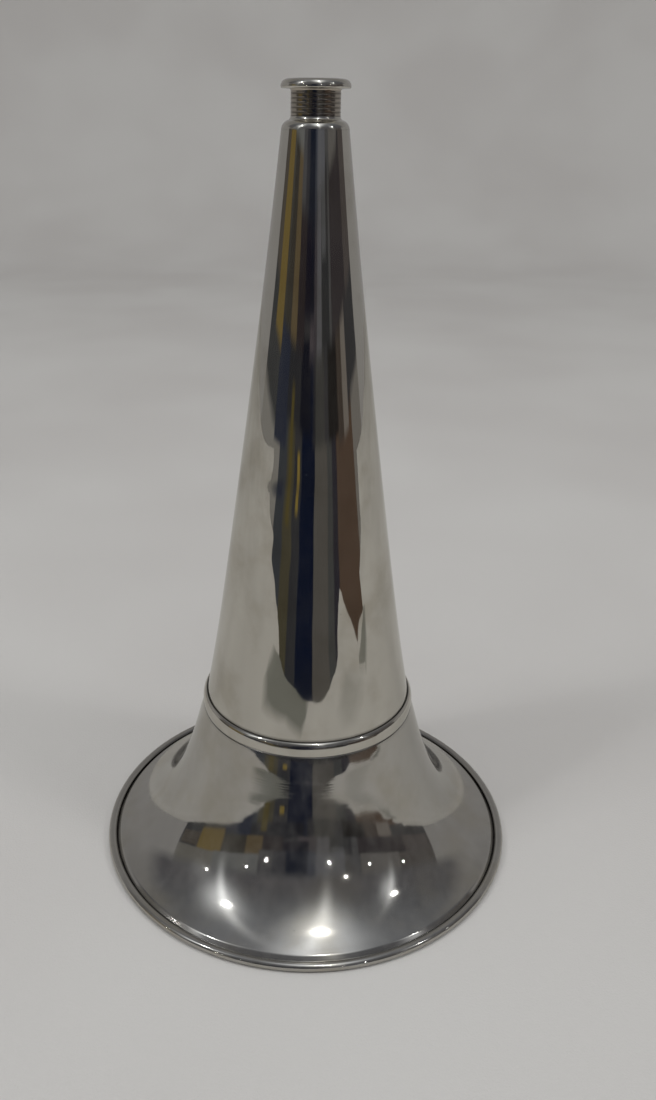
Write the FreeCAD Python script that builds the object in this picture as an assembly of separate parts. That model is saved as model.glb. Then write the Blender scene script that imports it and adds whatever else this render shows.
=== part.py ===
"""Acoustic horn, or speaking trumpet, standing on its bell. Sizes in millimetres.

Every piece is a ring about the vertical Z axis. The origin is the centre of the circle that
the rolled rim stands on. Profiles are drawn in the XZ plane, where X is the radius. A
heading is the direction in which a profile runs on, in degrees: 0 is straight down, 90 is
straight out, 180 is straight up.
"""
import FreeCAD, Part

import math
import os

# Driving dimensions
BELL_RADIUS = 118.0         # outside of the rolled rim
SHEET = 0.7                 # wall of every sheet piece
FIT = 0.05                  # gap that solder fills in each lapped joint

# Rolled rim
WIRE_RADIUS = 1.65
WIRE_GAP = 0.02             # between the wire and the sheet rolled round it
STANDING_FLAT = 0.1         # height worn off the rim's underside
GROOVE_HEADING = 45.0       # of the sheet as it dips in under the wire
CURL_END = 155.0            # where the rolled edge stops, counted up round the wire from outside

# Joint between cone and bell
JOINT_RADIUS = 56.75        # outside of the cone's lower collar
JOINT_TOP = 94.9
JOINT_BOTTOM = 89.0
COLLAR_TOP = 94.0           # of the bell's collar, inside the cone's
SHELF_HEIGHT = 87.3         # of the ledge on the bell that the bead rests on
SHELF_INNER = 57.4
SHELF_OUTER = 58.15
BEAD_TOP = 95.2
BEAD_RADIUS = 59.2
BEAD_WIDEST = 90.6          # height at which the bead is widest
BEAD_FOOT_RADIUS = 58.9
BEAD_FOOT_INNER = 57.45

# Bell, as points on its outer skin from the ledge to the rim
BELL_EDGE = (59.05, 86.65)
BELL_SHOULDER = (62.15, 76.3)
BELL_THROAT = (65.0, 66.0)
BELL_WAIST = (71.9, 46.0)
BELL_FLARE = (79.9, 30.3)
BELL_BRIM = (110.3, 4.9)
GROOVE_EDGE_HEIGHT = 4.2

# Cone, as points on its outer skin from the top to the joint
CONE_TOP = (15.4, 385.6)
CONE_UPPER = (28.3, 283.0)
CONE_LOWER = (46.7, 153.4)
CONE_TOP_HEADING = 6.6

# Shoulder cap between cone and neck
CAP_TOP = 391.2
CAP_HOLLOW = (12.5, 389.3)  # where the hollow curve turns into the round one
SKIRT_TOP = 386.8
SKIRT_BOTTOM = 378.2

# Neck
NECK_RADIUS = 11.15
THROAT_RADIUS = 9.4
SPIGOT_RADIUS = 10.4
SPIGOT_BOTTOM = 387.4
SPIGOT_TOP = 404.4
FLARE_RADIUS = 11.6
FLARE_BOTTOM = 401.2
GROOVE_COUNT = 5
GROOVE_FIRST = 392.5
GROOVE_PITCH = 1.9
GROOVE_WIDTH = 1.0
GROOVE_DEPTH = 0.05

# Lip ring
LIP_BOTTOM = 402.0
LIP_TOP = 406.1
LIP_RADIUS = 15.65


def at(radius, height):
    return FreeCAD.Vector(radius, 0, height)


def into_sheet(heading):
    """Unit vector from the outer skin to the inner one, where the skin has this heading."""
    angle = math.radians(heading)
    return at(-math.cos(angle), -math.sin(angle))


def spun(edges):
    """Closed outline turned once about Z."""
    outline = Part.Wire(Part.__sortEdges__(edges))
    ring = Part.Face(outline).revolve(at(0, 0), FreeCAD.Vector(0, 0, 1), 360)
    return ring if ring.ShapeType == "Solid" else ring.Solids[0]


def line(first, last):
    return Part.makeLine(at(*first), at(*last))


def arc(first, middle, last):
    return Part.Arc(at(*first), at(*middle), at(*last)).toShape()


class Skin:
    """Outer skin of a sheet, drawn as arcs and lines that run on from one another."""

    def __init__(self, radius, height, heading):
        self.corners = [[at(radius, height), heading, heading]]

    def chord_heading(self, point):
        start, _, leaving = self.corners[-1]
        step = point - start
        chord = math.degrees(math.atan2(step.x, -step.z))
        return leaving + (chord - leaving + 180) % 360 - 180

    def arc_to(self, radius, height):
        """Arc that leaves at the heading with which the last stretch arrived."""
        point = at(radius, height)
        leaving = self.corners[-1][2]
        arriving = 2 * self.chord_heading(point) - leaving
        self.corners.append([point, arriving, arriving])
        return self

    def line_to(self, radius, height):
        """Straight stretch, with a sharp fold at its start if it changes the heading."""
        point = at(radius, height)
        chord = self.chord_heading(point)
        self.corners[-1][2] = chord
        self.corners.append([point, chord, chord])
        return self

    def corner_at_depth(self, corner, depth):
        point, arriving, leaving = corner
        half_fold = math.radians(leaving - arriving) / 2
        return point + into_sheet((arriving + leaving) / 2) * (depth / math.cos(half_fold))

    def edges(self, depth):
        """The skin moved this far into the sheet."""
        result = []
        for first, last in zip(self.corners, self.corners[1:]):
            start = self.corner_at_depth(first, depth)
            end = self.corner_at_depth(last, depth)
            turn = math.radians(last[1] - first[2])
            if abs(turn) < 1e-6:
                result.append(Part.makeLine(start, end))
                continue
            chord = last[0] - first[0]
            middle_normal = into_sheet((first[2] + last[1]) / 2)
            sagitta = chord.Length / 2 * math.tan(turn / 4)
            middle = first[0] + chord / 2 + middle_normal * (sagitta + depth)
            result.append(Part.Arc(start, middle, end).toShape())
        return result

    def sheet(self):
        outer = self.edges(0)
        inner = self.edges(SHEET)
        ends = [Part.makeLine(outer[0].Vertexes[0].Point, inner[0].Vertexes[0].Point),
                Part.makeLine(outer[-1].Vertexes[-1].Point, inner[-1].Vertexes[-1].Point)]
        return spun(outer + inner + ends)


def wire_centre():
    roll_radius = WIRE_RADIUS + WIRE_GAP + SHEET
    return at(BELL_RADIUS - roll_radius, roll_radius - STANDING_FLAT)


def on_wire(angle):
    """Point where the sheet lies on the wire, the angle counted up from straight out."""
    turn = math.radians(angle)
    return wire_centre() + at(math.cos(turn), math.sin(turn)) * (WIRE_RADIUS + WIRE_GAP)


def bell():
    """Spun flare: collar inside the cone, ledge under the bead, waist, brim and rolled rim."""
    collar_radius = JOINT_RADIUS - SHEET - FIT
    touch = on_wire(180 + GROOVE_HEADING)
    groove_run = (GROOVE_EDGE_HEIGHT - touch.z) * math.tan(math.radians(GROOVE_HEADING))
    curl_end = on_wire(CURL_END)
    skin = Skin(collar_radius, COLLAR_TOP, 0)
    skin.line_to(collar_radius, SHELF_HEIGHT + SHELF_INNER - collar_radius)
    skin.arc_to(SHELF_INNER, SHELF_HEIGHT)
    skin.line_to(SHELF_OUTER, SHELF_HEIGHT)
    for stop in (BELL_EDGE, BELL_SHOULDER, BELL_THROAT, BELL_WAIST, BELL_FLARE, BELL_BRIM):
        skin.arc_to(*stop)
    skin.arc_to(touch.x - groove_run, GROOVE_EDGE_HEIGHT)
    skin.line_to(touch.x, touch.z)
    skin.arc_to(curl_end.x, curl_end.z)
    side = 3 * BELL_RADIUS
    worn_away = Part.makeBox(side, side, SHEET, FreeCAD.Vector(-side / 2, -side / 2, -SHEET))
    return skin.sheet().cut(worn_away).Solids[0]


def rim_wire():
    """Round wire inside the rolled rim."""
    centre = wire_centre()
    return Part.makeTorus(centre.x, WIRE_RADIUS, FreeCAD.Vector(0, 0, centre.z))


def joint_bead():
    """Band over the joint of cone and bell: rounded on top, nearly upright below."""
    inner = JOINT_RADIUS + FIT
    foot_height = SHELF_HEIGHT + FIT
    top = (inner, BEAD_TOP)
    widest = (BEAD_RADIUS, BEAD_WIDEST)
    foot = (BEAD_FOOT_RADIUS, foot_height)
    foot_inner = (BEAD_FOOT_INNER, foot_height)
    above_ledge = (inner, JOINT_BOTTOM)
    oval = Part.Ellipse(at(*top), at(*widest), at(inner, BEAD_WIDEST))
    crown = Part.Edge(oval, 0, math.pi / 2)
    drop = (BEAD_RADIUS - BEAD_FOOT_RADIUS) / 4
    side = arc(widest, (BEAD_RADIUS - drop, (BEAD_WIDEST + foot_height) / 2), foot)
    return spun([crown, side, line(foot, foot_inner), line(foot_inner, above_ledge),
                 line(above_ledge, top)])


def cone():
    """Long tapered tube with a straight collar that slips over the bell's."""
    skin = Skin(*CONE_TOP, CONE_TOP_HEADING)
    for stop in (CONE_UPPER, CONE_LOWER, (JOINT_RADIUS, JOINT_TOP)):
        skin.arc_to(*stop)
    skin.line_to(JOINT_RADIUS, JOINT_BOTTOM)
    return skin.sheet()


def shoulder_cap():
    """Domed cap on the cone's top, with a skirt soldered inside the cone."""
    collar_radius = SPIGOT_RADIUS + FIT + SHEET
    dome = Skin(collar_radius, CAP_TOP, 0).arc_to(*CAP_HOLLOW)
    dome.arc_to(CONE_TOP[0], CONE_TOP[1] + FIT)
    lean = math.radians(CONE_TOP_HEADING)

    def skirt_radius(height):
        inside_cone = CONE_TOP[0] - (SHEET + FIT) / math.cos(lean)
        return inside_cone + (CONE_TOP[1] - height) * math.tan(lean)

    skirt = Skin(skirt_radius(SKIRT_TOP), SKIRT_TOP, CONE_TOP_HEADING)
    skirt.line_to(skirt_radius(SKIRT_BOTTOM), SKIRT_BOTTOM)
    return dome.sheet().fuse(skirt.sheet()).removeSplitter().Solids[0]


def neck_tube():
    """Turned tube with shallow grooves round it and a spigot at each end."""
    edges = []
    here = (SPIGOT_RADIUS, CAP_TOP)

    def line_on(radius, height):
        nonlocal here
        edges.append(line(here, (radius, height)))
        here = (radius, height)

    line_on(NECK_RADIUS, CAP_TOP)
    for number in range(GROOVE_COUNT):
        middle = GROOVE_FIRST + number * GROOVE_PITCH
        top = (NECK_RADIUS, middle + GROOVE_WIDTH / 2)
        line_on(NECK_RADIUS, middle - GROOVE_WIDTH / 2)
        edges.append(arc(here, (NECK_RADIUS - GROOVE_DEPTH, middle), top))
        here = top
    line_on(NECK_RADIUS, FLARE_BOTTOM)
    bulge = (NECK_RADIUS + 0.3 * (FLARE_RADIUS - NECK_RADIUS), (FLARE_BOTTOM + LIP_BOTTOM) / 2)
    edges.append(arc(here, bulge, (FLARE_RADIUS, LIP_BOTTOM)))
    here = (FLARE_RADIUS, LIP_BOTTOM)
    line_on(SPIGOT_RADIUS, LIP_BOTTOM)
    line_on(SPIGOT_RADIUS, SPIGOT_TOP)
    line_on(THROAT_RADIUS, SPIGOT_TOP)
    line_on(THROAT_RADIUS, SPIGOT_BOTTOM)
    line_on(SPIGOT_RADIUS, SPIGOT_BOTTOM)
    line_on(SPIGOT_RADIUS, CAP_TOP)
    return spun(edges)


def lip_ring():
    """Rounded ring on the neck's upper spigot, with a low crown and a flared mouth."""
    bore = SPIGOT_RADIUS + FIT
    bore_bottom = (bore, LIP_BOTTOM)
    bore_top = (bore, SPIGOT_TOP)
    mouth_low = (THROAT_RADIUS, SPIGOT_TOP)
    mouth_round = (THROAT_RADIUS + 0.6, LIP_TOP - 0.45)
    mouth_top = (THROAT_RADIUS + 2.2, LIP_TOP)
    crown = (LIP_RADIUS - 2.98, LIP_TOP - 0.09)
    crown_end = (LIP_RADIUS - 1.95, LIP_TOP - 0.35)
    shoulder = (LIP_RADIUS - 0.57, LIP_TOP - 1.38)
    outermost = (LIP_RADIUS, LIP_BOTTOM + 1.1)
    under_round = (LIP_RADIUS - 0.14, LIP_BOTTOM + 0.45)
    under_edge = (LIP_RADIUS - 0.65, LIP_BOTTOM + 0.12)
    under_flare = (FLARE_RADIUS + 0.1, LIP_BOTTOM)
    return spun([line(bore_bottom, bore_top), line(bore_top, mouth_low),
                 arc(mouth_low, mouth_round, mouth_top), arc(mouth_top, crown, crown_end),
                 arc(crown_end, shoulder, outermost), arc(outermost, under_round, under_edge),
                 line(under_edge, under_flare), line(under_flare, bore_bottom)])


PIECES = (lip_ring, neck_tube, shoulder_cap, cone, joint_bead, bell, rim_wire)

os.makedirs("parts", exist_ok=True)
for piece in PIECES:
    piece().exportStep(f"parts/{piece.__name__}.step")
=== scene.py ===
import math

import bmesh
import bpy
from mathutils import Matrix, Vector, noise


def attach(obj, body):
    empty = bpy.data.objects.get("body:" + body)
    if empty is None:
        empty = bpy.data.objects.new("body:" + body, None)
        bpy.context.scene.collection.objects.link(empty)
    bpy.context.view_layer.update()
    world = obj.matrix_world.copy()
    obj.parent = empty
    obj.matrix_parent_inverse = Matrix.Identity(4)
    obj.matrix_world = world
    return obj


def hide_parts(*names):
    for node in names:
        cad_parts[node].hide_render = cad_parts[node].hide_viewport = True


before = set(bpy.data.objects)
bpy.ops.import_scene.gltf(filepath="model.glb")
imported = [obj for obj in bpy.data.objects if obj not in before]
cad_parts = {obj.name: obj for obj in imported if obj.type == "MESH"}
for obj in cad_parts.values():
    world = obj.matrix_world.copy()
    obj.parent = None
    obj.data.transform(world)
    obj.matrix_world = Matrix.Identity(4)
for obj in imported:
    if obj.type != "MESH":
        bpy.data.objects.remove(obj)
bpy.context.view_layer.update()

# Looks of a polished metal horn that stands on its bell. Every piece is a ring about Z, so each
# is turned from a profile of (radius, height) points, given here in millimetres.

MM = 0.001

# ---------------------------------------------------------------- shape of the horn

SHEET = 0.7
FIT = 0.05

BELL_RADIUS = 118.0
WIRE_RADIUS = 1.65
WIRE_GAP = 0.02
STANDING_FLAT = 0.1
GROOVE_HEADING = 45.0
CURL_END = 155.0

JOINT_RADIUS = 56.75
JOINT_TOP = 94.9
JOINT_BOTTOM = 89.0
COLLAR_TOP = 94.0
SHELF_HEIGHT = 87.3
SHELF_INNER = 57.4
SHELF_OUTER = 58.15
BEAD_TOP = 95.2
BEAD_RADIUS = 59.2
BEAD_WIDEST = 90.6
BEAD_FOOT_RADIUS = 58.9
BEAD_FOOT_INNER = 57.45

BELL_EDGE = (59.05, 86.65)
BELL_SHOULDER = (62.15, 76.3)
BELL_THROAT = (65.0, 66.0)
BELL_WAIST = (71.9, 46.0)
BELL_FLARE = (79.9, 30.3)
BELL_BRIM = (110.3, 4.9)
GROOVE_EDGE_HEIGHT = 4.2

CONE_TOP = (15.4, 385.6)
CONE_UPPER = (28.3, 283.0)
CONE_LOWER = (46.7, 153.4)
CONE_TOP_HEADING = 6.6

CAP_TOP = 391.2
CAP_HOLLOW = (12.5, 389.3)
SKIRT_TOP = 386.8
SKIRT_BOTTOM = 378.2
SKIRT_STEP = 0.35       # from the cone's top edge down to where the skirt's outside starts
SKIRT_MERGE = 0.6       # below the skirt's top, the end of the dome's inner skin
SKIRT_INSIDE = 0.8      # below the skirt's top, the start of the skirt's own inner skin

NECK_RADIUS = 11.15
THROAT_RADIUS = 9.4
SPIGOT_RADIUS = 10.4
SPIGOT_BOTTOM = 387.4
SPIGOT_TOP = 404.4
FLARE_RADIUS = 11.6
FLARE_BOTTOM = 401.2
GROOVE_COUNT = 5
GROOVE_FIRST = 392.5
GROOVE_PITCH = 1.9
GROOVE_WIDTH = 1.0
GROOVE_DEPTH = 0.05
FLARE_BULGE = 0.3       # share of the neck flare's width reached at half its height

LIP_BOTTOM = 402.0
LIP_TOP = 406.1
LIP_RADIUS = 15.65

LONGEST_STEP = 2.0      # along a profile, in mm
WIDEST_TURN = 3.0       # of a profile's direction in one step, in degrees
STRAIGHT = 1e-6         # turn below which an arc is a line, in radians
SHARP_FOLD = 32.0       # angle from which an edge is shaded sharp, in degrees


def into_sheet(heading):
    """Unit (radius, height) from a sheet's outer skin to its inner one. Heading 0 is down, 90 out."""
    angle = math.radians(heading)
    return Vector((-math.cos(angle), -math.sin(angle)))


class Skin:
    """Outer skin of a sheet, drawn as arcs and lines that run on from one another."""

    def __init__(self, radius, height, heading):
        self.corners = [[Vector((radius, height)), heading, heading]]

    def chord_heading(self, point):
        start, _, leaving = self.corners[-1]
        step = point - start
        chord = math.degrees(math.atan2(step.x, -step.y))
        return leaving + (chord - leaving + 180) % 360 - 180

    def arc_to(self, radius, height):
        point = Vector((radius, height))
        leaving = self.corners[-1][2]
        arriving = 2 * self.chord_heading(point) - leaving
        self.corners.append([point, arriving, arriving])
        return self

    def line_to(self, radius, height):
        point = Vector((radius, height))
        chord = self.chord_heading(point)
        self.corners[-1][2] = chord
        self.corners.append([point, chord, chord])
        return self

    def corner_at_depth(self, corner, depth):
        point, arriving, leaving = corner
        half_fold = math.radians(leaving - arriving) / 2
        return point + into_sheet((arriving + leaving) / 2) * (depth / math.cos(half_fold))

    def points(self, depth):
        """Points along the skin moved this far into the sheet."""
        result = [self.corner_at_depth(self.corners[0], depth)]
        for first, last in zip(self.corners, self.corners[1:]):
            chord = last[0] - first[0]
            turn = math.radians(last[1] - first[2])
            steps = max(math.ceil(chord.length / LONGEST_STEP),
                        math.ceil(abs(math.degrees(turn)) / WIDEST_TURN))
            for step in range(1, steps):
                share = step / steps
                heading = first[2] + (last[1] - first[2]) * share
                if abs(turn) < STRAIGHT:
                    point = first[0] + chord * share
                else:
                    bend = chord.length / (2 * math.sin(turn / 2))
                    point = first[0] + (into_sheet(heading) - into_sheet(first[2])) * bend
                result.append(point + into_sheet(heading) * depth)
            result.append(self.corner_at_depth(last, depth))
        return result

    def sheet(self):
        return self.points(0) + self.points(SHEET)[::-1]


def arc_points(first, middle, last, steps):
    """Points after first on the arc through three points, the last one included."""
    a, b, c = Vector(first), Vector(middle), Vector(last)
    area = 2 * ((b - a).x * (c - a).y - (b - a).y * (c - a).x)
    bb, cc = (b - a).length_squared, (c - a).length_squared
    centre = a + Vector(((c - a).y * bb - (b - a).y * cc, (b - a).x * cc - (c - a).x * bb)) / area
    start = math.atan2(*(a - centre).yx)
    turn = math.copysign(1, area) * (math.copysign(1, area)
                                     * (math.atan2(*(c - centre).yx) - start) % (2 * math.pi))
    radius = (a - centre).length
    return [centre + Vector((math.cos(start + turn * i / steps),
                             math.sin(start + turn * i / steps))) * radius
            for i in range(1, steps + 1)]


def split_line(first, last, step=0.5):
    """Points after first on a straight line, the last one included."""
    a, b = Vector(first), Vector(last)
    count = max(1, math.ceil((b - a).length / step))
    return [a + (b - a) * i / count for i in range(1, count + 1)]


def wire_centre():
    roll_radius = WIRE_RADIUS + WIRE_GAP + SHEET
    return Vector((BELL_RADIUS - roll_radius, roll_radius - STANDING_FLAT))


def on_wire(angle):
    turn = math.radians(angle)
    return wire_centre() + Vector((math.cos(turn), math.sin(turn))) * (WIRE_RADIUS + WIRE_GAP)


ROLL_START = on_wire(180 + GROOVE_HEADING)      # where the bell's sheet first meets the wire


def bell_outline():
    collar_radius = JOINT_RADIUS - SHEET - FIT
    groove_run = (GROOVE_EDGE_HEIGHT - ROLL_START.y) * math.tan(math.radians(GROOVE_HEADING))
    skin = Skin(collar_radius, COLLAR_TOP, 0)
    skin.line_to(collar_radius, SHELF_HEIGHT + SHELF_INNER - collar_radius)
    skin.arc_to(SHELF_INNER, SHELF_HEIGHT)
    skin.line_to(SHELF_OUTER, SHELF_HEIGHT)
    for stop in (BELL_EDGE, BELL_SHOULDER, BELL_THROAT, BELL_WAIST, BELL_FLARE, BELL_BRIM):
        skin.arc_to(*stop)
    skin.arc_to(ROLL_START.x - groove_run, GROOVE_EDGE_HEIGHT)
    skin.line_to(*ROLL_START)
    skin.arc_to(*on_wire(CURL_END))
    return [Vector((point.x, max(point.y, 0))) for point in skin.sheet()]


def cone_outline():
    skin = Skin(*CONE_TOP, CONE_TOP_HEADING)
    for stop in (CONE_UPPER, CONE_LOWER, (JOINT_RADIUS, JOINT_TOP)):
        skin.arc_to(*stop)
    skin.line_to(JOINT_RADIUS, JOINT_BOTTOM)
    return skin.sheet()


def bead_outline():
    inner = JOINT_RADIUS + FIT
    foot_height = SHELF_HEIGHT + FIT
    proud, rise = BEAD_RADIUS - inner, BEAD_TOP - BEAD_WIDEST
    steps = 30
    crown = [Vector((inner + proud * math.sin(angle), BEAD_WIDEST + rise * math.cos(angle)))
             for angle in (math.pi / 2 * i / steps for i in range(steps + 1))]
    drop = (BEAD_RADIUS - BEAD_FOOT_RADIUS) / 4
    side = arc_points(crown[-1], (BEAD_RADIUS - drop, (BEAD_WIDEST + foot_height) / 2),
                      (BEAD_FOOT_RADIUS, foot_height), 10)
    foot_inner, above_ledge = (BEAD_FOOT_INNER, foot_height), (inner, JOINT_BOTTOM)
    return (crown + side + split_line(side[-1], foot_inner) + split_line(foot_inner, above_ledge)
            + split_line(above_ledge, crown[0], 1.0)[:-1])


def cap_outline():
    collar_radius = SPIGOT_RADIUS + FIT + SHEET
    dome = Skin(collar_radius, CAP_TOP, 0).arc_to(*CAP_HOLLOW)
    dome.arc_to(CONE_TOP[0], CONE_TOP[1] + FIT)
    lean = math.tan(math.radians(CONE_TOP_HEADING))
    inside_cone = CONE_TOP[0] - (SHEET + FIT) * math.sqrt(1 + lean * lean)

    def skirt(height, depth=0.0):
        return Vector((inside_cone - depth + (CONE_TOP[1] - height) * lean, height))

    outer, inner = dome.points(0), dome.points(SHEET)
    high = [point for point in inner if point.y > SKIRT_TOP - SKIRT_MERGE]
    start = skirt(CONE_TOP[1] - SKIRT_STEP)
    inside = split_line(skirt(SKIRT_BOTTOM, SHEET), skirt(SKIRT_TOP - SKIRT_INSIDE, SHEET))
    return outer + [start] + split_line(start, skirt(SKIRT_BOTTOM)) + inside + high[::-1]


def neck_outline():
    points = [Vector((SPIGOT_RADIUS, CAP_TOP)), Vector((NECK_RADIUS, CAP_TOP))]
    for number in range(GROOVE_COUNT):
        middle = GROOVE_FIRST + number * GROOVE_PITCH
        low = (NECK_RADIUS, middle - GROOVE_WIDTH / 2)
        high = (NECK_RADIUS, middle + GROOVE_WIDTH / 2)
        points += split_line(points[-1], low, 0.4)
        points += arc_points(low, (NECK_RADIUS - GROOVE_DEPTH, middle), high, 8)
    points += split_line(points[-1], (NECK_RADIUS, FLARE_BOTTOM), 0.4)
    bulge = (NECK_RADIUS + FLARE_BULGE * (FLARE_RADIUS - NECK_RADIUS), (FLARE_BOTTOM + LIP_BOTTOM) / 2)
    points += arc_points(points[-1], bulge, (FLARE_RADIUS, LIP_BOTTOM), 6)
    for corner in ((SPIGOT_RADIUS, LIP_BOTTOM), (SPIGOT_RADIUS, SPIGOT_TOP), (THROAT_RADIUS, SPIGOT_TOP),
                   (THROAT_RADIUS, SPIGOT_BOTTOM), (SPIGOT_RADIUS, SPIGOT_BOTTOM)):
        points += split_line(points[-1], corner, 1.5)
    return points + split_line(points[-1], (SPIGOT_RADIUS, CAP_TOP), 1.5)[:-1]


def lip_outline():
    bore = SPIGOT_RADIUS + FIT
    mouth_low = (THROAT_RADIUS, SPIGOT_TOP)
    mouth_round = (THROAT_RADIUS + 0.6, LIP_TOP - 0.45)
    mouth_top = (THROAT_RADIUS + 2.2, LIP_TOP)
    crown = (LIP_RADIUS - 2.98, LIP_TOP - 0.09)
    crown_end = (LIP_RADIUS - 1.95, LIP_TOP - 0.35)
    shoulder = (LIP_RADIUS - 0.57, LIP_TOP - 1.38)
    outermost = (LIP_RADIUS, LIP_BOTTOM + 1.1)
    under_round = (LIP_RADIUS - 0.14, LIP_BOTTOM + 0.45)
    under_edge = (LIP_RADIUS - 0.65, LIP_BOTTOM + 0.12)
    under_flare = (FLARE_RADIUS + 0.1, LIP_BOTTOM)
    points = [Vector((bore, LIP_BOTTOM))]
    points += split_line(points[-1], (bore, SPIGOT_TOP), 1.0)
    points += split_line(points[-1], mouth_low, 1.0)
    points += arc_points(mouth_low, mouth_round, mouth_top, 12)
    points += arc_points(mouth_top, crown, crown_end, 8)
    points += arc_points(crown_end, shoulder, outermost, 20)
    points += arc_points(outermost, under_round, under_edge, 12)
    points += split_line(under_edge, under_flare, 0.5)
    return points


# ---------------------------------------------------------------- small faults in the sheet

# (direction round the cone, height, reach round, reach up, depth inward), degrees and mm
DENTS = (
    (-24.0, 232.0, 13.0, 11.0, 0.22),
    (-38.0, 208.0, 10.0, 15.0, -0.16),
    (-22.0, 196.0, 7.0, 9.0, 0.16),
    (18.0, 150.0, 16.0, 22.0, 0.14),
    (31.0, 246.0, 12.0, 26.0, -0.10),
    (150.0, 170.0, 14.0, 17.0, 0.20),
    (-120.0, 262.0, 12.0, 12.0, 0.16),
)
WAVE_LENGTH = 26.0      # of the cone's long waves, in mm, with shorter ones on them
WAVE_DEPTH = 0.055
WAVE_STRETCH = 0.6      # height is squeezed by this, so that the waves are taller than wide
SHORT_WAVES = 2.7       # times as many as the long ones
SHORT_WAVE_DEPTH = 0.02
WAVE_FADE = 25.0        # run over which the waves start and end
RIPPLE_LENGTH = 34.0    # of the bell's unevenness
RIPPLE_DEPTH = 0.03
RIPPLE_INNER = 62.0
RIPPLE_OUTER = 110.0
RIPPLE_FADE = 10.0


def fade_between(value, low, high, run):
    """1 inside low and high, falling smoothly to 0 at each over this run."""
    share = min(max(min(value - low, high - value) / run, 0), 1)
    return share * share * (3 - 2 * share)


def hammered(angle, radius, height):
    """How far the cone's sheet is pushed in here, in mm."""
    depth = 0.0
    for direction, middle, reach_round, reach_up, push in DENTS:
        along = (math.degrees(angle) + 90 - direction + 180) % 360 - 180
        along = math.radians(along) * radius
        depth += push * math.exp(-(along / reach_round) ** 2 - ((height - middle) / reach_up) ** 2)
    place = Vector((math.cos(angle) * radius, math.sin(angle) * radius, height * WAVE_STRETCH)) / WAVE_LENGTH
    depth += WAVE_DEPTH * noise.noise(place) + SHORT_WAVE_DEPTH * noise.noise(place * SHORT_WAVES)
    return depth * fade_between(height, JOINT_TOP + 3, CONE_TOP[1] - 4, WAVE_FADE)


def spun_ripple(angle, radius, height):
    """Slight unevenness of the bell's spun wall, in mm."""
    place = Vector((math.cos(angle) * radius, math.sin(angle) * radius, height)) / RIPPLE_LENGTH
    return RIPPLE_DEPTH * noise.noise(place) * fade_between(radius, RIPPLE_INNER, RIPPLE_OUTER, RIPPLE_FADE)


# ---------------------------------------------------------------- meshes

def crevice(*lines, most=1.0):
    """Measure of soiling and painted shade that is highest on these (radius, height, reach) circles and
    fades away.
    """
    def grime_and_shade(radius, height):
        nearest = 0.0
        for line_radius, line_height, reach in lines:
            gap = math.hypot(radius - line_radius, height - line_height) / reach
            nearest = max(nearest, math.exp(-gap * gap))
        return most * nearest
    return grime_and_shade


def turned(name, outline, turns, material, grime_and_shade, push_in=None):
    """Ring with this closed outline. Its measure of soiling and painted shade is kept in the mesh for its
    material to read.
    """
    mesh = bmesh.new()
    layer = mesh.verts.layers.float.new("grime_and_shade")
    rings = []
    for turn in range(turns):
        angle = 2 * math.pi * turn / turns
        ring = []
        for point in outline:
            radius = point.x - (push_in(angle, point.x, point.y) if push_in else 0)
            place = Vector((radius * math.cos(angle), radius * math.sin(angle), point.y))
            vertex = mesh.verts.new(place * MM)
            vertex[layer] = grime_and_shade(point.x, point.y)
            ring.append(vertex)
        rings.append(ring)
    count = len(outline)
    for here, there in zip(rings, rings[1:] + rings[:1]):
        for i in range(count):
            mesh.faces.new((here[i], there[i], there[(i + 1) % count], here[(i + 1) % count]))
    bmesh.ops.recalc_face_normals(mesh, faces=mesh.faces)
    data = bpy.data.meshes.new(name)
    mesh.to_mesh(data)
    mesh.free()
    data.shade_smooth()
    data.set_sharp_from_angle(angle=math.radians(SHARP_FOLD))
    data.materials.append(material)
    piece = bpy.data.objects.new(name, data)
    bpy.context.scene.collection.objects.link(piece)
    return piece


# ---------------------------------------------------------------- materials

def linear(red, green, blue):
    """Linear colour for a display colour in 0..255."""
    return tuple(((c / 255 + 0.055) / 1.055) ** 2.4 if c > 10 else c / 255 / 12.92
                 for c in (red, green, blue)) + (1.0,)


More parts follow.
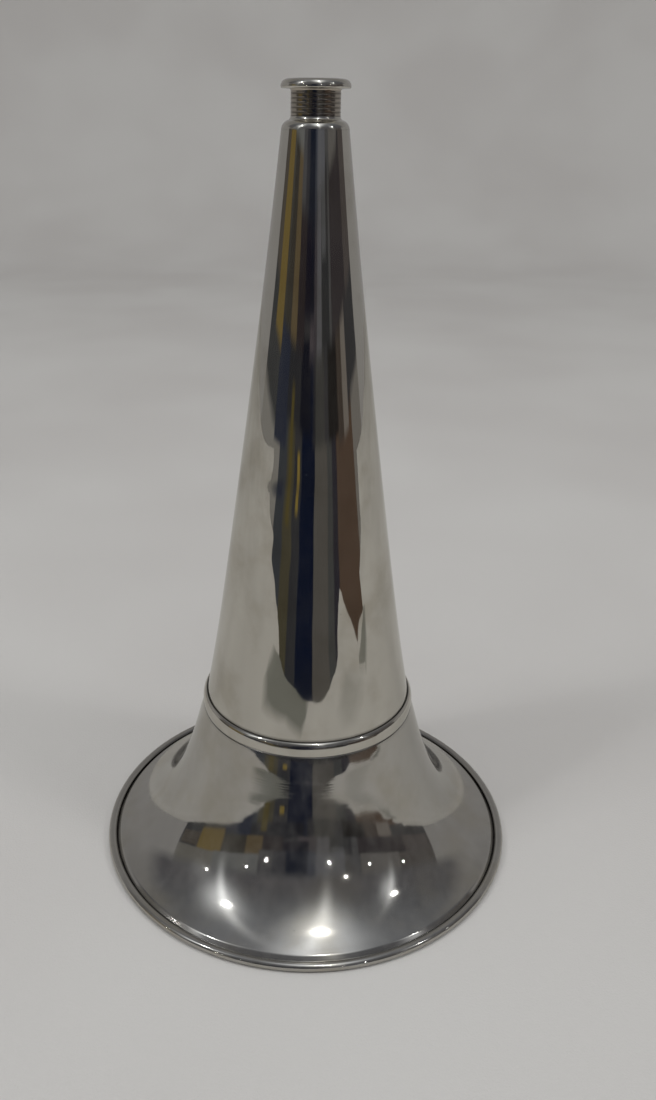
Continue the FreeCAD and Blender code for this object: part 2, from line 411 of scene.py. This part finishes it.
class Nodes:
    """Short names for building a material's nodes."""

    def __init__(self, name):
        self.material = bpy.data.materials.new(name)
        self.material.use_nodes = True
        self.tree = self.material.node_tree
        self.surface = self.tree.nodes["Principled BSDF"]

    def link(self, source, target):
        self.tree.links.new(source, target)

    def fill(self, socket, value):
        if hasattr(value, "is_output"):
            self.link(value, socket)
        else:
            socket.default_value = value

    def math(self, operation, first, second=0.0, clamp=False):
        node = self.tree.nodes.new("ShaderNodeMath")
        node.operation, node.use_clamp = operation, clamp
        self.fill(node.inputs[0], first)
        self.fill(node.inputs[1], second)
        return node.outputs[0]

    def vector(self, operation, first, second=(0, 0, 0)):
        node = self.tree.nodes.new("ShaderNodeVectorMath")
        node.operation = operation
        self.fill(node.inputs[0], first)
        self.fill(node.inputs[1], second)
        return node.outputs["Value" if operation == "LENGTH" else "Vector"]

    def combine(self, x, y, z):
        node = self.tree.nodes.new("ShaderNodeCombineXYZ")
        for socket, value in zip(node.inputs, (x, y, z)):
            self.fill(socket, value)
        return node.outputs[0]

    def place(self):
        return self.tree.nodes.new("ShaderNodeTexCoord").outputs["Object"]

    def height(self, place):
        node = self.tree.nodes.new("ShaderNodeSeparateXYZ")
        self.link(place, node.inputs[0])
        return node.outputs[2]

    def noise(self, place, scale, detail=3.0, rough=0.55):
        node = self.tree.nodes.new("ShaderNodeTexNoise")
        self.link(place, node.inputs["Vector"])
        node.inputs["Scale"].default_value = scale
        node.inputs["Detail"].default_value = detail
        node.inputs["Roughness"].default_value = rough
        return node.outputs["Fac"]

    def specks(self, place, scale, size):
        """1 in small round dots strewn over the surface."""
        node = self.tree.nodes.new("ShaderNodeTexVoronoi")
        self.link(place, node.inputs["Vector"])
        node.inputs["Scale"].default_value = scale
        return self.stretch(node.outputs["Distance"], size, size * 0.6, 0.0, 1.0)

    def stretch(self, value, low, high, to_low, to_high):
        """Smooth step from to_low to to_high as value goes from low to high."""
        node = self.tree.nodes.new("ShaderNodeMapRange")
        node.interpolation_type = "SMOOTHSTEP"
        for socket, number in zip(node.inputs, (value, low, high, to_low, to_high)):
            self.fill(socket, number)
        return node.outputs[0]

    def blend(self, share, first, second):
        node = self.tree.nodes.new("ShaderNodeMix")
        node.data_type = "RGBA"
        self.fill(node.inputs["Factor"], share)
        self.fill(node.inputs[6], first)
        self.fill(node.inputs[7], second)
        return node.outputs[2]

    def bump(self, height, distance, base=None):
        node = self.tree.nodes.new("ShaderNodeBump")
        node.inputs["Distance"].default_value = distance
        self.link(height, node.inputs["Height"])
        if base:
            self.link(base, node.inputs["Normal"])
        return node.outputs[0]

    def measure(self, name):
        """Number that the mesh keeps under this name."""
        node = self.tree.nodes.new("ShaderNodeAttribute")
        node.attribute_name = name
        return node.outputs["Fac"]


# Dark colour for soiling and for painted shade in the crevices.
GRIME_AND_SHADE = linear(24, 20, 16)
PLATE = linear(204, 201, 193)
TARNISH = linear(168, 162, 148)


def plated(name, base, mirror, hazy, dulled, drawn, mark_scale, mark_depth, haze_height=None):
    """Polished nickel plate. drawn is "round" for spun marks or "along" for burnished streaks.

    mirror and hazy are its roughness at best and at worst, dulled the share that scatters light,
    mark_depth is in mm, and below haze_height, in mm, the plate gets hazier.
    """
    n = Nodes(name)
    place = n.place()
    height = n.height(place)
    sideways = n.vector("MULTIPLY", place, (1, 1, 0))
    if drawn == "round":
        marks = n.combine(n.vector("LENGTH", sideways), 0.0, height)
    else:
        marks = n.vector("MULTIPLY", n.vector("NORMALIZE", sideways), (0.032, 0.032, 0))
        marks = n.vector("ADD", marks, n.combine(0.0, 0.0, n.math("MULTIPLY", height, 0.025)))
    fine = n.noise(marks, mark_scale, 4.0, 0.7)
    coarse = n.noise(marks, mark_scale * 0.22, 2.0)
    cloud = n.noise(place, 34.0, 4.0)
    smear = n.noise(n.vector("MULTIPLY", place, (1, 1, 0.35)), 120.0, 5.0, 0.65)
    dots = n.specks(place, 150.0, 0.045)
    # Soiling and painted shade in the crevices that the mesh marks, plus specks of soil strewn over the
    # plate: darker and rougher there.
    dirt_and_shade = n.math("MULTIPLY", n.measure("grime_and_shade"), n.stretch(smear, 0.2, 0.6, 0.75, 1.15), clamp=True)
    dirt_and_shade = n.math("MAXIMUM", dirt_and_shade, n.math("MULTIPLY", dots, n.stretch(cloud, 0.5, 0.62, 0.0, 0.7)))

    tarnish = n.stretch(cloud, 0.42, 0.75, 0.0, 0.55)
    colour = n.blend(tarnish, base, TARNISH)
    n.link(n.blend(dirt_and_shade, colour, GRIME_AND_SHADE), n.surface.inputs["Base Color"])

    roughness = n.stretch(n.math("ADD", n.math("MULTIPLY", cloud, 0.6), n.math("MULTIPLY", smear, 0.4)),
                          0.38, 0.66, mirror, hazy)
    roughness = n.math("ADD", roughness, n.math("MULTIPLY", fine, 0.02))
    if haze_height:
        roughness = n.math("ADD", roughness, n.stretch(height, haze_height * MM, 0.003, 0.0, 0.045))
    roughness = n.math("ADD", roughness, n.math("MULTIPLY", dirt_and_shade, 0.45), clamp=True)
    n.link(roughness, n.surface.inputs["Roughness"])

    mottle = n.math("ADD", n.math("MULTIPLY", cloud, 0.5), n.math("MULTIPLY", smear, 0.5))
    n.link(n.stretch(mottle, 0.38, 0.62, 1.0 - 0.4 * dulled, 1.0 - 1.8 * dulled),
           n.surface.inputs["Metallic"])
    normal = n.bump(fine, mark_depth * MM)
    n.link(n.bump(coarse, mark_depth * 3 * MM, normal), n.surface.inputs["Normal"])
    return n.material


def drawn_steel(name):
    """Plain bright wire with dull die marks and a little rust."""
    n = Nodes(name)
    place = n.place()
    sideways = n.vector("LENGTH", n.vector("MULTIPLY", place, (1, 1, 0)))
    marks = n.combine(sideways, 0.0, n.height(place))
    lines = n.noise(marks, 2600.0, 3.0)
    patch = n.noise(place, 90.0, 5.0)
    rust = n.stretch(patch, 0.56, 0.72, 0.0, 0.6)
    n.link(n.blend(rust, linear(150, 147, 142), linear(96, 66, 44)), n.surface.inputs["Base Color"])
    n.link(n.stretch(patch, 0.3, 0.75, 0.28, 0.6), n.surface.inputs["Roughness"])
    n.surface.inputs["Metallic"].default_value = 1.0
    n.link(n.bump(lines, 0.02 * MM), n.surface.inputs["Normal"])
    return n.material


# ---------------------------------------------------------------- the pieces

BELL_METAL = plated("bell_plate", linear(187, 185, 180), mirror=0.02, hazy=0.075, dulled=0.05,
                    drawn="round", mark_scale=900.0, mark_depth=0.004, haze_height=30.0)
CONE_METAL = plated("cone_plate", PLATE, mirror=0.008, hazy=0.022, dulled=0.01,
                    drawn="along", mark_scale=900.0, mark_depth=0.003)
TRIM_METAL = plated("trim_plate", PLATE, mirror=0.015, hazy=0.055, dulled=0.02,
                    drawn="round", mark_scale=1500.0, mark_depth=0.003)
NECK_METAL = plated("neck_plate", linear(184, 176, 165), mirror=0.05, hazy=0.12, dulled=0.02,
                    drawn="round", mark_scale=1500.0, mark_depth=0.004)

GROOVE_DARKENING_REACH = 0.42     # reach of the soiling and painted shade in each of the neck's grooves, in mm
GROOVES = [(NECK_RADIUS - GROOVE_DEPTH, GROOVE_FIRST + i * GROOVE_PITCH, GROOVE_DARKENING_REACH)
           for i in range(GROOVE_COUNT)]

# (piece, outline, turns round the axis, material, CAD node, slot, soiling and painted shade, faults)
PIECES = (
    ("bell_flare", bell_outline(), 216, BELL_METAL, "bell", "bell_metal",
     crevice((ROLL_START.x - 0.9, ROLL_START.y + 0.6, 1.25), (SHELF_OUTER, SHELF_HEIGHT, 0.8)), spun_ripple),
    ("cone_tube", cone_outline(), 256, CONE_METAL, "cone", "cone_metal",
     crevice((JOINT_RADIUS, BEAD_TOP, 0.55)), hammered),
    ("joint_band", bead_outline(), 256, TRIM_METAL, "joint_bead", "trim_metal",
     crevice((JOINT_RADIUS + 0.1, BEAD_TOP, 0.4), (BEAD_FOOT_RADIUS, SHELF_HEIGHT, 0.35)), None),
    ("shoulder_dome", cap_outline(), 128, TRIM_METAL, "shoulder_cap", "trim_metal",
     crevice((NECK_RADIUS, CAP_TOP, 0.25)), None),
    ("neck_sleeve", neck_outline(), 128, NECK_METAL, "neck_tube", "neck_metal",
     crevice(*GROOVES, most=0.5), None),
    ("lip_roll", lip_outline(), 128, TRIM_METAL, "lip_ring", "trim_metal",
     crevice((FLARE_RADIUS + 0.2, LIP_BOTTOM, 0.5)), None),
)

for name, outline, turns, material, node, slot_name, grime_and_shade, push_in in PIECES:
    piece = turned(name, outline, turns, material, grime_and_shade, push_in)
    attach(piece, "root")
    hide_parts(node)

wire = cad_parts["rim_wire"]
wire.data.materials.clear()
wire.data.materials.append(drawn_steel("wire_steel"))


# ---------------------------------------------------------------- floor and surroundings

REFLECTANCE = (0.60, 0.58, 0.53)    # of the plate, to turn a reflected colour into the room's


def stage_mesh(name, vertices, faces, material, camera=True, glossy=True, diffuse=True, shadow=True):
    data = bpy.data.meshes.new(name)
    data.from_pydata(vertices, [], faces)
    data.materials.append(material)
    item = bpy.data.objects.new(name, data)
    bpy.context.scene.collection.objects.link(item)
    item.visible_camera, item.visible_glossy = camera, glossy
    item.visible_diffuse, item.visible_shadow = diffuse, shadow
    return item


def cloth(name, darker, lighter, shaded=None):
    """Woven cloth, with a darker colour where its mesh keeps a measure of shade."""
    n = Nodes(name)
    place = n.place()
    broad = n.noise(place, 2.2, 2.0)
    weave = n.noise(place, 900.0, 2.0)
    colour = n.blend(n.stretch(broad, 0.3, 0.7, 0.0, 1.0), darker, lighter)
    if shaded:
        colour = n.blend(n.measure("shade"), colour, shaded)
    n.link(colour, n.surface.inputs["Base Color"])
    n.surface.inputs["Roughness"].default_value = 0.9
    n.surface.inputs["Specular IOR Level"].default_value = 0.1
    n.link(n.bump(weave, 0.15 * MM), n.surface.inputs["Normal"])
    return n.material


def glowing(name):
    """Card that shines with the colour kept in its mesh."""
    n = Nodes(name)
    glow = n.tree.nodes.new("ShaderNodeEmission")
    paint = n.tree.nodes.new("ShaderNodeAttribute")
    paint.attribute_name = "paint"
    n.link(paint.outputs["Color"], glow.inputs["Color"])
    n.link(glow.outputs[0], n.tree.nodes["Material Output"].inputs["Surface"])
    return n.material


FLOOR_CLOTH = cloth("floor_cloth", linear(205, 203, 201), linear(213, 212, 210))
# The cloth seen in the metal is a darker copy of the floor cloth: painted shade.
MIRRORED_CLOTH = cloth("mirrored_cloth", linear(191, 189, 185), linear(202, 200, 196),
                       shaded=linear(129, 130, 124))

SWEEP_HEIGHT = -0.0003      # just under the horn and the cloth that it mirrors
CLOTH_HEIGHT = -0.0001
SHADE_HEIGHT = 0.0002

# Round sweep that every camera sees: a flat floor that curves up into a wall
SWEEP_FLAT = 2.2
SWEEP_BEND = 1.0
SWEEP_TOP = 4.0
SWEEP_SIDES = 96
SWEEP = [(0.0, 0.0), (1.0, 0.0), (SWEEP_FLAT, 0.0)]
SWEEP += [(SWEEP_FLAT + SWEEP_BEND * math.sin(math.radians(a)), SWEEP_BEND * (1 - math.cos(math.radians(a))))
          for a in range(5, 91, 5)]
SWEEP += [(SWEEP_FLAT + SWEEP_BEND, SWEEP_TOP)]


def ring_faces(rings, sides):
    """Four-sided faces between rings of this many points each."""
    return [(ring * sides + side, ring * sides + (side + 1) % sides,
             (ring + 1) * sides + (side + 1) % sides, (ring + 1) * sides + side)
            for ring in range(rings - 1) for side in range(sides)]


verts = []
for radius, height in SWEEP:
    for side in range(SWEEP_SIDES):
        angle = 2 * math.pi * side / SWEEP_SIDES
        verts.append((radius * math.cos(angle), radius * math.sin(angle), height + SWEEP_HEIGHT))
sweep = stage_mesh("floor_sweep", verts, ring_faces(len(SWEEP), SWEEP_SIDES), FLOOR_CLOTH,
                   glossy=False, shadow=False)
sweep.data.shade_smooth()

# The cloth as the horn mirrors it. Its uneven hem hangs over the table's front edge, and past a
# box that stands on the right. Someone who stands in front shades a patch of it.
HEM = [(-2.1, -1.05), (-1.44, -0.82), (-0.93, -0.73), (-0.61, -0.63), (-0.43, -0.575), (-0.34, -0.515),
       (-0.26, -0.525), (-0.13, -0.55), (0.045, -0.55), (0.146, -0.529), (0.227, -0.521),
       (0.311, -0.521), (0.375, -0.53), (0.48, -0.61), (0.575, -0.67), (0.505, -0.29), (0.61, -0.20),
       (0.79, -0.27), (1.11, -0.20), (2.1, -0.3)]
HEM_STEP = 0.03
CLOTH_REACH = 2.1
FRILL = 0.03                    # width of the hem that waves up and down
FRILL_RISE = 0.007
FRILL_WAVES = 14                # per metre
FRILL_ROW = 3.0                 # of the noise that the waves are taken from
SHADED_REACH = (-0.42, 0.04)    # the hem lies flat between these, in the shade

# Shade on that cloth, in columns of (near x, near y, far x, far y, depth of shade)
PERSON_SHADE = ((-0.42, -0.47, -0.42, -0.38, 0.0), (-0.38, -0.49, -0.39, -0.32, 0.9),
                (-0.34, -0.514, -0.34, -0.29, 1.0), (-0.26, -0.524, -0.25, -0.38, 1.0),
                (-0.19, -0.537, -0.18, -0.435, 1.0), (-0.13, -0.549, -0.12, -0.44, 1.0),
                (-0.06, -0.549, -0.045, -0.445, 1.0), (-0.02, -0.549, -0.015, -0.49, 1.0),
                (0.015, -0.549, 0.012, -0.535, 0.3))
BOX_SHADE = ((0.505, -0.289, 0.435, -0.25, 0.8), (0.54, -0.26, 0.44, -0.17, 0.9),
             (0.58, -0.226, 0.52, -0.15, 0.9), (0.62, -0.2, 0.63, -0.16, 0.6))
FAINT_SHADE = ((0.23, -0.43, 0.25, -0.33, 0.0), (0.30, -0.46, 0.32, -0.25, 0.3),
               (0.38, -0.47, 0.40, -0.19, 0.35), (0.45, -0.42, 0.47, -0.19, 0.0))


def along_line(corners, step):
    """Points about this far apart along a line through these corners."""
    points = [Vector(corners[0])]
    for first, last in zip(corners, corners[1:]):
        points += split_line(first, last, step)
    return points


def hem_lift(point):
    if SHADED_REACH[0] < point.x < SHADED_REACH[1]:
        return 0.0
    wave = noise.noise(Vector((point.x * FRILL_WAVES, point.y * FRILL_WAVES, FRILL_ROW)))
    return max(0.0, wave) * FRILL_RISE


edge = along_line(HEM, HEM_STEP)
inner_edge = [point * (1 - FRILL / point.length) for point in edge]
verts = [(point.x, point.y, CLOTH_HEIGHT) for point in inner_edge]
verts += [(CLOTH_REACH, CLOTH_REACH, CLOTH_HEIGHT), (-CLOTH_REACH, CLOTH_REACH, CLOTH_HEIGHT)]
faces = [tuple(range(len(verts)))]
first_hem = len(verts)
verts += [(point.x, point.y, hem_lift(point)) for point in edge]
faces += [(i, i + 1, first_hem + i + 1, first_hem + i) for i in range(len(edge) - 1)]
stage_mesh("table_cloth", verts, faces, MIRRORED_CLOTH, camera=False, diffuse=False, shadow=False)


def shade(name, columns, near_part):
    """Shade on the cloth, fading out at its far edge and falling to this part at its near edge."""
    steps = ((0.0, near_part), (0.25, 1.0), (0.65, 1.0), (1.0, 0.0))
    rows = len(steps)
    verts, depths = [], []
    for near_x, near_y, far_x, far_y, depth in columns:
        for share, part in steps:
            verts.append((near_x + (far_x - near_x) * share, near_y + (far_y - near_y) * share,
                          SHADE_HEIGHT))
            depths.append(depth * part)
    faces = [(column * rows + row, column * rows + row + 1, (column + 1) * rows + row + 1,
              (column + 1) * rows + row) for column in range(len(columns) - 1) for row in range(rows - 1)]
    patch = stage_mesh(name, verts, faces, MIRRORED_CLOTH, camera=False, diffuse=False, shadow=False)
    patch.data.attributes.new("shade", "FLOAT", "POINT").data.foreach_set("value", depths)


shade("person_shade", PERSON_SHADE, 1.0)
shade("box_shade", BOX_SHADE, 1.0)
shade("faint_shade", FAINT_SHADE, 0.0)

# Room seen only in the metal, painted inside a dome. Each panel runs between two directions from
# the front (positive to the right) and two rises, in degrees, with its colour once mirrored.
PANELS = (
    (-99, 99, -60, 24, (44, 43, 43)),
    # low: skirting, boxes and someone in dark clothes
    (-99, -53, -60, -3, (102, 99, 93)), (-53, -40, -60, -1, (45, 47, 49)),
    (-40, -27, -60, -1, (57, 53, 40)), (-27, -16, -60, -3, (38, 38, 39)),
    (-15, 6, -60, 3, (7, 13, 28)), (6, 26, -60, -2, (67, 64, 59)), (26, 34, -60, -2, (54, 54, 52)),
    (34, 42, -60, -2, (35, 33, 37)), (42, 76, -60, -2, (65, 52, 42)), (76, 99, -60, -2, (92, 88, 82)),
    # eye level
    (-99, -66, -3, 3, (48, 48, 47)), (-66, -44, -4, 3, (33, 36, 45)), (-44, -20, -1, 3, (34, 34, 35)),
    (-36, -31, -7, 1, (66, 58, 30)), (-20, -1, -1, 4, (14, 15, 22)), (-22, -18, -5.8, -3.5, (104, 88, 42)),
    (2, 7, -2, 3, (30, 30, 33)), (7, 23, -2, 3, (50, 49, 46)), (30, 48, -2, 3, (24, 22, 20)),
    (48, 59, -3, 3, (53, 46, 40)), (59, 70, -3, 3, (92, 86, 79)),
    # shelves
    (-98, -84, 3, 12, (63, 58, 51)), (-84, -65, 1, 12.5, (90, 76, 42)), (-65, -46, 3, 12, (46, 43, 37)),
    (-46, -33, 3, 12, (76, 65, 46)), (-33, -17, 3, 10, (36, 31, 31)), (-17, -5, 4.5, 10, (19, 17, 25)),
    (-5, 3, 3, 5, (58, 53, 55)), (-5, 3, 5, 10, (17, 18, 26)), (3, 9, 3, 10, (52, 48, 50)),
    (9, 19, 3, 11, (73, 72, 73)), (20, 36, 3, 8, (38, 38, 38)), (36, 41, 3, 12, (60, 59, 58)),
    (41, 78, 3, 11, (43, 39, 39)), (78, 99, 3, 12, (62, 57, 54)),
    # upper wall
    (-99, -70, 12.5, 30, (86, 83, 76)), (-70, -35, 12, 30, (84, 84, 81)), (-35, -24, 10, 30, (60, 59, 59)),
    (-24, -14, 10, 30, (42, 42, 45)), (-14, 2, 10, 30, (19, 23, 32)), (2, 8, 10, 30, (48, 50, 56)),
    (8, 30, 11, 30, (75, 75, 77)), (20, 30, 8, 11, (66, 66, 66)), (30, 42, 12, 30, (63, 62, 61)),
    (42, 72, 11, 30, (78, 75, 71)), (72, 99, 12, 30, (66, 62, 58)),
)
# (rise, colour) of the pale walls to the sides and behind, and of the ceiling in front
SIDE_WALLS = ((-60, 113, 110, 104), (20, 114, 111, 106), (48, 99, 96, 91), (68, 106, 104, 101),
              (90, 104, 103, 101))
CEILING = ((22, 66, 65, 65), (30, 70, 68, 68), (40, 74, 73, 73), (50, 80, 80, 80), (60, 90, 90, 90),
           (70, 98, 98, 98), (90, 108, 108, 108))
# (direction, rise, reach sideways, reach up, strength) of the glow and the streak at each big lamp
GLOWS = ((-64, 46, 9, 12, 0.85), (-62, 46, 2.5, 20, 0.9), (14, 65, 11, 15, 1.0), (16, 63, 3, 24, 1.0),
         (61, 36, 4, 9, 0.5), (64, 37, 1.8, 13, 0.6), (45, 86, 14, 14, 0.6), (-78, 27, 7, 6, 0.12))
GLOW_TINT = (0.97, 1.0, 1.03)
FRONT_EDGE = 118        # direction where the painted ceiling ends, in degrees to each side
FRONT_FADE = 12
CEILING_START = 20      # rise where the walls turn into the ceiling, in degrees
CEILING_FADE = 7
ROOM_RADIUS = 12.0
ROOM_CENTRE = 0.15


def room_light(shown):
    """What the room has to send out for the plate to show this display colour."""
    return [part / share for part, share in zip(linear(*shown), REFLECTANCE)]


PANEL_LIGHT = [panel[:4] + (room_light(panel[4]),) for panel in PANELS]


def mixed(first, second, share):
    return [a + (b - a) * share for a, b in zip(first, second)]


def colour_at(steps, rise):
    """Colour for this rise, between the steps of a list of (rise, red, green, blue)."""
    shown = steps[0][1:] if rise < steps[0][0] else steps[-1][1:]
    for below, above in zip(steps, steps[1:]):
        if below[0] <= rise < above[0]:
            shown = mixed(below[1:], above[1:], (rise - below[0]) / (above[0] - below[0]))
    return room_light(shown)


def room_colour(direction, rise):
    colour = colour_at(SIDE_WALLS, rise)
    for left, right, low, high, light in PANEL_LIGHT:
        if left <= direction < right and low <= rise < high:
            colour = light
    towards_front = min(max((FRONT_EDGE - abs(direction)) / FRONT_FADE, 0), 1)
    share = min(max((rise - CEILING_START) / CEILING_FADE, 0), 1)
    colour = mixed(colour, colour_at(CEILING, rise), share * towards_front)
    for middle, height, sideways, upward, strength in GLOWS:
        across = ((direction - middle + 180) % 360 - 180) * math.cos(math.radians(rise)) / sideways
        glow = strength * math.exp(-across ** 2 - ((rise - height) / upward) ** 2)
        colour = [part + glow * tint for part, tint in zip(colour, GLOW_TINT)]
    return colour


def towards(direction, rise, distance, height=0.0):
    """Point at this direction from the front, rise and distance, seen from this height on the axis."""
    turn, lift = math.radians(direction), math.radians(rise)
    return Vector((math.sin(turn) * math.cos(lift) * distance, -math.cos(turn) * math.cos(lift) * distance,
                   math.sin(lift) * distance + height))


DOME_SIDES = 720
DOME_LOWEST = -60
DOME_HIGHEST = 89.9
DOME_RISES = [*range(DOME_LOWEST, 90), DOME_HIGHEST]
verts, paint = [], []
for rise in DOME_RISES:
    for side in range(DOME_SIDES):
        direction = side * 360 / DOME_SIDES - 180
        verts.append(towards(direction, rise, ROOM_RADIUS, ROOM_CENTRE))
        paint.append(room_colour(direction, rise))
room = stage_mesh("room_in_the_metal", verts, ring_faces(len(DOME_RISES), DOME_SIDES), glowing("room_glow"),
                  camera=False, diffuse=False, shadow=False)
colours = room.data.color_attributes.new("paint", "FLOAT_COLOR", "POINT")
for item, colour in zip(colours.data, paint):
    item.color = (*colour, 1.0)


# ---------------------------------------------------------------- lights

LIGHT_AIM = 0.01        # height on the horn's axis from which the lights' directions are given


def lamp(name, direction, rise, distance, radius, radiance):
    """Small round lamp, seen in the metal as a point of light."""
    light = bpy.data.lights.new(name, "POINT")
    light.shadow_soft_size = radius
    light.energy = radiance * 4 * math.pi ** 2 * radius ** 2
    item = bpy.data.objects.new(name, light)
    item.location = towards(direction, rise, distance, LIGHT_AIM)
    bpy.context.scene.collection.objects.link(item)


def softbox(name, direction, rise, distance, size, power):
    """Broad soft light that lights the floor but isn't seen in the metal."""
    light = bpy.data.lights.new(name, "AREA")
    light.shape = "DISK"
    light.size = size
    light.energy = power
    item = bpy.data.objects.new(name, light)
    item.location = towards(direction, rise, distance, LIGHT_AIM)
    item.rotation_mode = "QUATERNION"
    item.rotation_quaternion = item.location.to_track_quat("Z", "Y")
    item.visible_glossy = False
    bpy.context.scene.collection.objects.link(item)


# (name, direction, rise, distance, size, power)
SOFTBOXES = (("key_left", -62, 42, 2.6, 0.7, 9.0), ("key_right", 66, 42, 2.6, 0.7, 9.0),
             ("top_light", 10, 82, 2.6, 1.8, 12.0))
for box in SOFTBOXES:
    softbox(*box)

# (direction, rise, radius in m, radiance) of the lamps that show in the metal
LAMPS = ((-73, 27, 0.05, 240), (-43, 20, 0.05, 200), (-29, 15, 0.05, 200), (18, 16, 0.05, 220),
         (30, 25, 0.06, 260), (48, 17, 0.05, 200), (74, 19, 0.045, 200), (-61, 50, 0.30, 55),
         (17, 70, 0.33, 55), (67, 41, 0.21, 60))
LAMP_DISTANCE = 11.5
for number, (direction, rise, radius, radiance) in enumerate(LAMPS):
    lamp(f"lamp_{number}", direction, rise, LAMP_DISTANCE, radius, radiance)

WORLD_GREY = (0.5, 0.5, 0.5, 1)
WORLD_STRENGTH = 0.80
world = bpy.data.worlds.new("world")
bpy.context.scene.world = world
world.use_nodes = True
world.node_tree.nodes["Background"].inputs["Color"].default_value = WORLD_GREY
world.node_tree.nodes["Background"].inputs["Strength"].default_value = WORLD_STRENGTH


# ---------------------------------------------------------------- camera

CAMERA_PLACE = (0.0, -0.4682, 0.3927)
CAMERA_PITCH = math.radians(24.23)
CAMERA_YAW = math.radians(-0.49)
CAMERA_ROLL = math.radians(0.61)
LENS = 31.48
SHIFT = (0.0236, -0.0048)

forward = Vector((math.sin(CAMERA_YAW) * math.cos(CAMERA_PITCH),
                  math.cos(CAMERA_YAW) * math.cos(CAMERA_PITCH), -math.sin(CAMERA_PITCH)))
level = Vector((math.cos(CAMERA_YAW), -math.sin(CAMERA_YAW), 0))
upright = level.cross(forward)
right = level * math.cos(CAMERA_ROLL) + upright * math.sin(CAMERA_ROLL)
up = upright * math.cos(CAMERA_ROLL) - level * math.sin(CAMERA_ROLL)

camera = bpy.data.objects.new("camera", bpy.data.cameras.new("camera"))
camera.data.lens = LENS
camera.data.sensor_width = 36.0
camera.data.shift_x, camera.data.shift_y = SHIFT
camera.data.clip_start, camera.data.clip_end = 0.01, 50.0
facing = Matrix((right, up, -forward)).transposed().to_4x4()
camera.matrix_world = Matrix.Translation(CAMERA_PLACE) @ facing
bpy.context.scene.collection.objects.link(camera)
bpy.context.scene.camera = camera

bpy.context.scene.view_settings.view_transform = "Standard"
